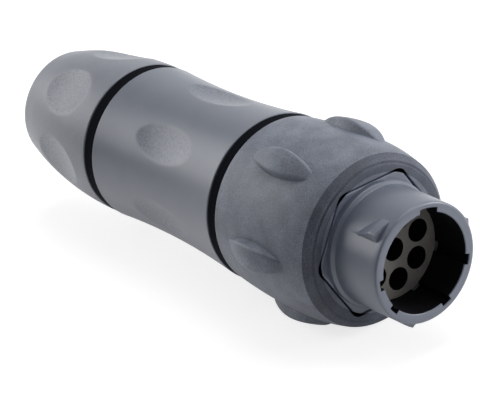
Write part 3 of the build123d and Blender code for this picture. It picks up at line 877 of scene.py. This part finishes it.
def contact_insert(material, cavity_shade_material):
    """The insert: a face with wide cavity mouths before a block with narrower cavities."""
    face = drilled_disc("face", INSERT_FRONT, CONTACT_FRONT, CAVITY_MOUTH_RADIUS, FACE_EDGE)
    block = drilled_disc("block", CONTACT_FRONT, INSERT_BACK, CAVITY_RADIUS, BLOCK_EDGE)
    mesh = joined("contact_insert_fine", [face, block])
    finish_mesh(mesh, material, "receptacle", "insert_plastic", "contact_insert")
    # Painted shade: the cavities' walls get a near-black material in place of the shade inside them
    mesh.materials.append(cavity_shade_material)
    for polygon in mesh.polygons:
        in_cavity = polygon.center.yz.length < (INSERT_RADIUS - FACE_EDGE * 2) * MM
        polygon.material_index = int(in_cavity and abs(polygon.normal.x) < CAVITY_WALL_NORMAL)


def add_node(tree, kind, settings=None, numbered=None, **named):
    """A shader node. Its inputs are numbered, or named with underscores for spaces. Each gets a
    plain value or another node's output."""
    made = tree.nodes.new(kind)
    for key, value in (settings or {}).items():
        setattr(made, key, value)
    inputs = {key.replace("_", " "): value for key, value in named.items()}
    for key, value in {**(numbered or {}), **inputs}.items():
        if isinstance(value, bpy.types.NodeSocket):
            tree.links.new(value, made.inputs[key])
        else:
            made.inputs[key].default_value = value
    return made


def math_node(tree, operation, first, second):
    return add_node(tree, "ShaderNodeMath", {"operation": operation}, {0: first, 1: second}).outputs[0]


def dot_product(tree, first, second):
    settings = {"operation": "DOT_PRODUCT"}
    return add_node(tree, "ShaderNodeVectorMath", settings, {0: first, 1: second}).outputs["Value"]


def mix_colours(tree, share, first, second):
    # A mix node has inputs and outputs for each kind of value, and these are the colours'
    inputs = {0: share, 6: first, 7: second}
    return add_node(tree, "ShaderNodeMix", {"data_type": "RGBA"}, inputs).outputs[2]


def noise(tree, coordinates, size, detail, roughness):
    """Noise whose lumps are about size millimetres across."""
    return add_node(tree, "ShaderNodeTexNoise", Vector=coordinates, Scale=1 / (size * MM), Detail=detail,
                    Roughness=roughness).outputs["Fac"]


def spread(tree, value, low, high, to_low=0.0, to_high=1.0):
    """A value taken from one range to another, and held at its ends."""
    return add_node(tree, "ShaderNodeMapRange", {"clamp": True}, Value=value, From_Min=low, From_Max=high,
                    To_Min=to_low, To_Max=to_high).outputs["Result"]


def rgba(colour, gain=1.0):
    return tuple(channel * gain for channel in colour) + (1.0,)


# Ranges that noise mostly fills: in full, for a harder contrast and for tarnish
NOISE_RANGE = (0.3, 0.7)
NOISE_CORE = (0.35, 0.65)
NOISE_TARNISH = (0.35, 0.7)

# Moulded plastic and rubber: sizes of the patches, how light worn edges are, the least share of
# that wear along them, how much coarser and deeper the grain of the recesses is, and how far
# roughness varies
CLOUD_SIZE = 3.5
WEAR_SIZE = 1.6
WEAR_GAIN = 1.9
WEAR_LEAST_SHARE = 0.4
RECESS_GRAIN = 1.7
RECESS_HEIGHT = 1.5
PLASTIC_ROUGHNESS_SPREAD = (-0.05, 0.07)

# Metal: how much finer its noise is along X, which draws it out round the axis, how deep and strong
# those streaks are, patches of tarnish and their tone, and how far roughness varies
STREAK_STRETCH = (6, 1, 1)
STREAK_DEPTH = 0.004
STREAK_STRENGTH = 0.6
TARNISH_SIZE = 1.5
TARNISH_GAIN = 0.72
METAL_ROUGHNESS_SPREAD = (-0.08, 0.12)


def start_material(name):
    """A new material, its node tree, its shader and the object's own coordinates."""
    material = bpy.data.materials.new(name)
    material.use_nodes = True
    tree = material.node_tree
    coordinates = add_node(tree, "ShaderNodeTexCoord").outputs["Object"]
    return material, tree, tree.nodes["Principled BSDF"], coordinates


def vary_roughness(tree, shader, texture, roughness, limits):
    rough = spread(tree, texture, *NOISE_RANGE, roughness + limits[0], roughness + limits[1])
    tree.links.new(rough, shader.inputs["Roughness"])


def moulded(name, colour, roughness, grain, grain_depth, speckle, mottle, recess_gain=0.0, wear=0.3,
            gloss=0.5):
    """Moulded plastic: mottled colour, grain of a size in millimetres, worn edges and varied gloss."""
    material, tree, shader, coordinates = start_material(name)
    fine = noise(tree, coordinates, grain, detail=4.0, roughness=0.65)
    clouds = noise(tree, coordinates, CLOUD_SIZE, detail=3.0, roughness=0.5)
    cloud = spread(tree, clouds, *NOISE_RANGE)
    base = mix_colours(tree, cloud, rgba(colour, 1 - mottle), rgba(colour, 1 + mottle))
    # Grain: fine everywhere, with a coarser one on top in the recesses
    recess = add_node(tree, "ShaderNodeAttribute", {"attribute_name": "recess"}).outputs["Fac"]
    coarse = noise(tree, coordinates, grain * RECESS_GRAIN, detail=2.0, roughness=0.7)
    grainy = spread(tree, fine, *NOISE_RANGE, -speckle, speckle)
    sparkle = spread(tree, coarse, *NOISE_CORE, -recess_gain, recess_gain)
    grainy = math_node(tree, "ADD", grainy, math_node(tree, "MULTIPLY", sparkle, recess))
    lift = math_node(tree, "ADD", grainy, 1.0)
    toned = add_node(tree, "ShaderNodeVectorMath", {"operation": "SCALE"}, Vector=base, Scale=lift)
    # Wear: patchy light edges
    edge = add_node(tree, "ShaderNodeAttribute", {"attribute_name": "edge"}).outputs["Fac"]
    patches = noise(tree, coordinates, WEAR_SIZE, detail=3.0, roughness=0.6)
    patchy = spread(tree, patches, *NOISE_CORE, wear * WEAR_LEAST_SHARE, wear)
    worn = math_node(tree, "MULTIPLY", edge, patchy)
    coloured = mix_colours(tree, worn, toned.outputs[0], rgba(colour, WEAR_GAIN))
    tree.links.new(coloured, shader.inputs["Base Color"])
    vary_roughness(tree, shader, fine, roughness, PLASTIC_ROUGHNESS_SPREAD)
    coarse_height = math_node(tree, "MULTIPLY", math_node(tree, "MULTIPLY", coarse, recess), RECESS_HEIGHT)
    height = math_node(tree, "ADD", fine, coarse_height)
    bump = add_node(tree, "ShaderNodeBump", Strength=1.0, Distance=grain_depth * MM, Height=height)
    tree.links.new(bump.outputs["Normal"], shader.inputs["Normal"])
    shader.inputs["Specular IOR Level"].default_value = gloss
    return material


def metal(name, colour, roughness, line_size):
    """Turned or drawn metal: fine streaks round the axis, slight tarnish."""
    material, tree, shader, coordinates = start_material(name)
    stretched = add_node(tree, "ShaderNodeMapping", Vector=coordinates, Scale=STREAK_STRETCH)
    lines = noise(tree, stretched.outputs["Vector"], line_size, detail=4.0, roughness=0.7)
    spots = noise(tree, coordinates, TARNISH_SIZE, detail=3.0, roughness=0.6)
    tarnish = spread(tree, spots, *NOISE_TARNISH)
    base = mix_colours(tree, tarnish, rgba(colour), rgba(colour, TARNISH_GAIN))
    tree.links.new(base, shader.inputs["Base Color"])
    vary_roughness(tree, shader, lines, roughness, METAL_ROUGHNESS_SPREAD)
    bump = add_node(tree, "ShaderNodeBump", Strength=STREAK_STRENGTH, Distance=STREAK_DEPTH * MM,
                    Height=lines)
    tree.links.new(bump.outputs["Normal"], shader.inputs["Normal"])
    shader.inputs["Metallic"].default_value = 1.0
    return material


SHELL = moulded("shell_plastic", (0.148, 0.171, 0.228), roughness=0.34, grain=0.25, grain_depth=0.003,
                speckle=0.05, mottle=0.05, gloss=0.9)
# Painted shade: near black, for the bore and the insert's cavities, standing in for the shade that fills
# them
BORE_SHADE = moulded("bore_painted_shade", (0.006, 0.006, 0.008), roughness=0.70, grain=0.25, grain_depth=0.004,
               speckle=0.05, mottle=0.05, wear=0.0, gloss=0.1)
RING = moulded("ring_plastic", (0.176, 0.198, 0.250), roughness=0.48, grain=0.20, grain_depth=0.028,
               speckle=0.45, mottle=0.24, wear=0.15, gloss=0.6)
# Painted shade: a darker copy of the ring's plastic for its nose, standing in for the shade on its front
# face and bevel
RING_NOSE_SHADE = moulded("ring_nose_painted_shade", (0.100, 0.112, 0.146), roughness=0.55, grain=0.20,
                    grain_depth=0.028, speckle=0.45, mottle=0.22, wear=0.15, gloss=0.4)
BODY = moulded("body_plastic", (0.176, 0.197, 0.248), roughness=0.36, grain=0.22, grain_depth=0.003,
               speckle=0.04, mottle=0.03, recess_gain=0.24, wear=0.2, gloss=0.7)
NUT = moulded("nut_plastic", (0.218, 0.236, 0.282), roughness=0.42, grain=0.16, grain_depth=0.010,
              speckle=0.18, mottle=0.05, recess_gain=0.30, wear=0.2, gloss=0.8)
RUBBER = moulded("seal_rubber", (0.003, 0.004, 0.007), roughness=0.75, grain=0.20, grain_depth=0.006,
                 speckle=0.10, mottle=0.05, wear=0.1, gloss=0.04)
GROMMET = moulded("grommet_rubber", (0.020, 0.020, 0.022), roughness=0.70, grain=0.30, grain_depth=0.010,
                  speckle=0.10, mottle=0.08, wear=0.1)
INSERT = moulded("insert_plastic", (0.290, 0.280, 0.262), roughness=0.60, grain=0.25, grain_depth=0.006,
                 speckle=0.06, mottle=0.05, wear=0.0, gloss=0.3)
CAGE = moulded("cage_plastic", (0.035, 0.035, 0.037), roughness=0.45, grain=0.30, grain_depth=0.006,
               speckle=0.06, mottle=0.05)
CONTACT = metal("contact_metal", (0.72, 0.56, 0.28), roughness=0.30, line_size=0.5)
SPRING = metal("spring_steel", (0.55, 0.55, 0.56), roughness=0.32, line_size=0.4)


def paint_node(name, material):
    """Gives a CAD node that is shown as it is its material."""
    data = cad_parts[name].data
    data.materials.clear()
    data.materials.append(material)
    data.polygons.foreach_set("material_index", [0] * len(data.polygons))


receptacle_shell(SHELL, BORE_SHADE)
front_ring(RING, RING_NOSE_SHADE)
backshell_body(BODY)
gland_nut(NUT)
contact_insert(INSERT, BORE_SHADE)
seal_ring("front_seal_fine", "front_seal_ring", "front_seal", SPIGOT_RADIUS, RING_BACK_RADIUS, RUBBER)
seal_ring("rear_seal_fine", "rear_seal_ring", "backshell", SEAL_LAND_RADIUS, NUT_SIDE[0][1], RUBBER)
paint_node("flange_gasket", RUBBER)
paint_node("clamp_cage", CAGE)
paint_node("cable_grommet", GROMMET)
paint_node("insert_retaining_ring", SPRING)
for index in range(len(cavity_places())):
    paint_node(f"socket_contact_{index + 1}", CONTACT)
    paint_node(f"contact_clip_{index + 1}", SPRING)


# Camera, for a picture of 500 by 402 pixels: where the rim's centre falls in it, the focal length
# in pixels, and the distance and direction from which it looks
PICTURE_WIDTH = 500
PICTURE_HEIGHT = 402
RIM_CENTRE_PIXEL = (425.1, 263.4)
FOCAL_PIXELS = 5000
SENSOR_WIDTH = 36.0
CAMERA_DISTANCE = 0.7385
CAMERA_AZIMUTH = 55.26
CAMERA_ELEVATION = 26.25
CAMERA_ROLL = 8.27
CAMERA_NEAR = 0.01
CAMERA_FAR = 20


def add_camera():
    camera = bpy.data.cameras.new("camera")
    camera.sensor_width = SENSOR_WIDTH
    camera.lens = FOCAL_PIXELS / PICTURE_WIDTH * SENSOR_WIDTH
    camera.clip_start = CAMERA_NEAR
    camera.clip_end = CAMERA_FAR
    view = Matrix.Rotation(radians(CAMERA_AZIMUTH), 4, "Z")
    view @= Matrix.Rotation(radians(90 - CAMERA_ELEVATION), 4, "X")
    view @= Matrix.Rotation(radians(-CAMERA_ROLL), 4, "Z")
    right, up, back = (view.to_3x3().col[index] for index in range(3))
    off_right = (RIM_CENTRE_PIXEL[0] - PICTURE_WIDTH / 2) / FOCAL_PIXELS * CAMERA_DISTANCE
    off_down = (RIM_CENTRE_PIXEL[1] - PICTURE_HEIGHT / 2) / FOCAL_PIXELS * CAMERA_DISTANCE
    view.translation = back * CAMERA_DISTANCE - right * off_right + up * off_down
    holder = bpy.data.objects.new("camera", camera)
    holder.matrix_world = view
    bpy.context.scene.collection.objects.link(holder)
    bpy.context.scene.camera = holder


# What the soft lights aim at: the middle of the object's length
LIGHT_TARGET = (-0.045, 0, 0)


def add_softbox(name, place, width, height, power):
    """A rectangular soft light at a place, in metres and watts."""
    light = bpy.data.lights.new(name, "AREA")
    light.shape = "RECTANGLE"
    light.size = width
    light.size_y = height
    light.energy = power
    holder = bpy.data.objects.new(name, light)
    holder.location = place
    holder.rotation_euler = (Vector(LIGHT_TARGET) - Vector(place)).to_track_quat("-Z", "Y").to_euler()
    bpy.context.scene.collection.objects.link(holder)


def seen_rays(tree, glossy_share):
    """1 for what the camera sees directly, and a share of that for what gloss and glass show."""
    path = add_node(tree, "ShaderNodeLightPath").outputs
    mirrored = math_node(tree, "MAXIMUM", path["Is Glossy Ray"], path["Is Transmission Ray"])
    mirrored = math_node(tree, "MULTIPLY", mirrored, glossy_share)
    return math_node(tree, "MAXIMUM", path["Is Camera Ray"], mirrored)


# Floor: a pale square that the camera sees as white. In gloss its brightness fades in along a
# direction, over a span from the mating rim, and it is darker close beside the object.
FLOOR_SIZE = 8.0
FLOOR_COLOUR = (0.55, 0.55, 0.55, 1)
FLOOR_ROUGHNESS = 0.9
FLOOR_GLOW = 0.76
FLOOR_CONTACT_SHADE = 0.010
FLOOR_FADE_DIRECTION = (-0.45, 0.89, 0.0)
FLOOR_FADE_SPAN = (-0.036, 0.004)
FLOOR_MIRROR_SHARES = (0.25, 1.25)

# World: white light that grows stronger from the -Y side to the +Y side, as light and as seen in
# gloss. A side is a direction's share along Y.
WHITE = (1, 1, 1, 1)
WORLD_SIDES = (-1.0, 1.0)
WORLD_STRENGTHS = (0.06, 0.44)
WORLD_MIRROR_SIDES = (-0.60, 0.50)
WORLD_MIRROR_STRENGTHS = (0.15, 1.00)


def add_floor():
    half = FLOOR_SIZE / 2
    ground = cad_bounds[0][2]
    corners = [(-half, -half, ground), (half, -half, ground), (half, half, ground), (-half, half, ground)]
    mesh = bpy.data.meshes.new("floor")
    mesh.from_pydata(corners, [], [(0, 1, 2, 3)])
    material = bpy.data.materials.new("floor")
    material.use_nodes = True
    tree = material.node_tree
    shader = tree.nodes["Principled BSDF"]
    shader.inputs["Base Color"].default_value = FLOOR_COLOUR
    shader.inputs["Roughness"].default_value = FLOOR_ROUGHNESS
    shader.inputs["Specular IOR Level"].default_value = 0.0
    shade = add_node(tree, "ShaderNodeAmbientOcclusion", Distance=FLOOR_CONTACT_SHADE).outputs["AO"]
    place = add_node(tree, "ShaderNodeNewGeometry").outputs["Position"]
    across = dot_product(tree, place, FLOOR_FADE_DIRECTION)
    fade = spread(tree, across, *FLOOR_FADE_SPAN, *FLOOR_MIRROR_SHARES)
    seen = seen_rays(tree, math_node(tree, "MULTIPLY", shade, fade))
    glow = add_node(tree, "ShaderNodeEmission", Strength=math_node(tree, "MULTIPLY", seen, FLOOR_GLOW))
    both = tree.nodes.new("ShaderNodeAddShader")
    tree.links.new(shader.outputs[0], both.inputs[0])
    tree.links.new(glow.outputs[0], both.inputs[1])
    tree.links.new(both.outputs[0], tree.nodes["Material Output"].inputs["Surface"])
    mesh.materials.append(material)
    floor = bpy.data.objects.new("floor", mesh)
    bpy.context.scene.collection.objects.link(floor)


def add_world():
    """Soft light, stronger on the +Y side. The camera sees it as white."""
    world = bpy.data.worlds.new("world")
    world.use_nodes = True
    tree = world.node_tree
    back = tree.nodes["Background"]
    back.inputs["Color"].default_value = WHITE
    direction = add_node(tree, "ShaderNodeTexCoord").outputs["Generated"]
    side = add_node(tree, "ShaderNodeSeparateXYZ", Vector=direction).outputs["Y"]
    lit = spread(tree, side, *WORLD_SIDES, *WORLD_STRENGTHS)
    mirrored = spread(tree, side, *WORLD_MIRROR_SIDES, *WORLD_MIRROR_STRENGTHS)
    tree.links.new(math_node(tree, "MAXIMUM", seen_rays(tree, mirrored), lit), back.inputs["Strength"])
    bpy.context.scene.world = world


bpy.context.scene.view_settings.view_transform = "Standard"
add_camera()
add_floor()
add_world()
add_softbox("key_light", (-0.81, -0.37, 0.34), width=0.75, height=0.50, power=3.3)
add_softbox("top_light", (-0.14, 0.25, 0.88), width=0.60, height=0.60, power=2.6)
add_softbox("front_light", (0.45, 0.70, 0.25), width=0.40, height=0.40, power=4.0)
